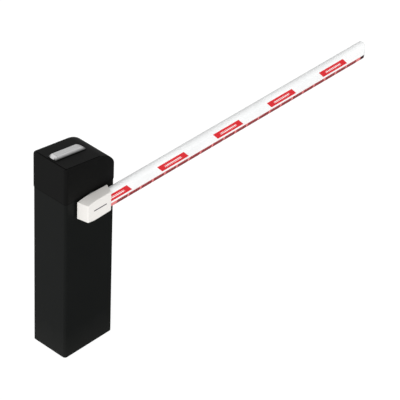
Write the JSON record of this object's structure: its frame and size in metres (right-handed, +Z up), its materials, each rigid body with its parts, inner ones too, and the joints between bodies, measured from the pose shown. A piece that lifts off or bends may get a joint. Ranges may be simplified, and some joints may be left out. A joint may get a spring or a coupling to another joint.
{
  "type": "parking barrier gate",
  "caption": "Parking barrier gate: steel cabinet with a sloped hood and top lamp, and a swinging boom with reflectors and a light strip.",
  "frame": {"origin": "on the ground, at the centre of the four anchor holes in the base plate", "axes": "+X along the closed boom, away from the cabinet; -Y is the face that carries the boom; +Z up"},
  "size_m": [1.9245, 0.2803, 1.0623],
  "materials": {
    "cabinet_paint": "fine-textured near-black powder coat",
    "plain_steel": "turned steel",
    "zinc_steel": "zinc-plated steel",
    "grey_paint": "grey primer",
    "dark_paint": "dark grey paint",
    "black_rubber": "matt black rubber",
    "lens_plastic": "frosted translucent plastic",
    "light_plastic": "light grey plastic",
    "dark_plastic": "dark grey plastic",
    "brass": "turned brass",
    "red_plastic": "red plastic",
    "circuit_green": "circuit board green",
    "core_steel": "varnished core",
    "cover_plastic": "off-white moulded plastic",
    "boom_white": "white powder coat on aluminium",
    "cap_plastic": "light grey plastic",
    "strip_plastic": "translucent red plastic",
    "segment_red": "dark red lens",
    "mark_red": "red reflective film"
  },
  "bodies": {
    "cabinet": {"base_plate": "cabinet_paint", "cabinet_shell": "cabinet_paint", "cabinet_hinge_leaves": "cabinet_paint", "hinge_pins": "plain_steel", "hood_shell": "cabinet_paint", "hood_screws": "zinc_steel", "lamp_lens": "lens_plastic", "lamp_tray": "light_plastic", "lamp_board": "light_plastic", "drive_chassis": "grey_paint", "chassis_spacers": "plain_steel", "chassis_bolts": "zinc_steel", "rear_bearing_plate": "grey_paint", "front_bearing": "plain_steel", "rear_bearing": "plain_steel", "shaft_seal": "black_rubber", "limit_switches": "dark_plastic", "balance_spring": "plain_steel", "spring_anchor": "dark_paint", "adjuster_rod": "plain_steel", "adjuster_nuts": "zinc_steel", "stop_brackets": "dark_paint", "stop_buffers": "black_rubber", "intermediate_axle": "plain_steel", "axle_sleeve": "brass", "gearmotor_housing": "dark_paint", "motor_bolts": "zinc_steel", "release_pivot": "plain_steel", "electronics_plate": "zinc_steel", "control_enclosure": "light_plastic", "control_lid": "dark_plastic", "control_board": "circuit_green", "terminal_blocks": "circuit_green", "transformer": "core_steel", "motor_cable": "black_rubber", "lamp_cable": "black_rubber"},
    "door": {"rear_door": "cabinet_paint", "door_seal": "black_rubber", "door_hinge_leaves": "cabinet_paint"},
    "lock": {"lock_cylinder": "plain_steel", "lock_cam": "zinc_steel"},
    "boom": {"drive_shaft": "plain_steel", "main_gear": "zinc_steel", "balance_lever": "dark_paint", "drive_keys": "brass", "limit_cam": "light_plastic", "spring_pin": "plain_steel", "boom_hub": "dark_paint", "boom_bracket": "grey_paint", "bracket_bolts": "zinc_steel", "clamp_fasteners": "plain_steel", "boom_cover": "cover_plastic", "boom_tube": "boom_white", "light_strip": "strip_plastic", "light_segments": "segment_red", "reflector_marks": "mark_red", "boom_end_cap": "cap_plastic"},
    "intermediate": {"intermediate_gear": "zinc_steel"},
    "motor_output": {"motor_pinion": "plain_steel"},
    "release": {"release_lever": "red_plastic"}
  },
  "joints": [
    {"name": "boom_swing", "type": "hinge", "parent": "cabinet", "child": "boom", "pos_m": [0, 0, 0.808], "axis": [0, -1, 0], "range_deg": [0, 90], "deforming": ["balance_spring"]},
    {"name": "intermediate_spin", "type": "hinge", "parent": "cabinet", "child": "intermediate", "pos_m": [0.03848, 0, 0.70229], "axis": [0, -1, 0], "range_deg": [-360, 0]},
    {"name": "motor_spin", "type": "hinge", "parent": "cabinet", "child": "motor_output", "pos_m": [0.05306, 0, 0.61956], "axis": [0, -1, 0], "range_deg": [0, 1800]},
    {"name": "release_pull", "type": "hinge", "parent": "cabinet", "child": "release", "pos_m": [-0.08, 0, 0.748], "axis": [0, -1, 0], "range_deg": [0, 60]},
    {"name": "door_open", "type": "hinge", "parent": "cabinet", "child": "door", "pos_m": [-0.121, 0.1073, 0], "axis": [0, 0, 1], "range_deg": [0, 110]},
    {"name": "lock_turn", "type": "hinge", "parent": "door", "child": "lock", "pos_m": [0.1, 0.103, 0.45], "axis": [0, 1, 0], "range_deg": [0, 90]}
  ],
  "couplings": [
    {"joint": "intermediate_spin", "follows": "boom_swing", "ratio": -4},
    {"joint": "motor_spin", "follows": "boom_swing", "ratio": 20}
  ]
}
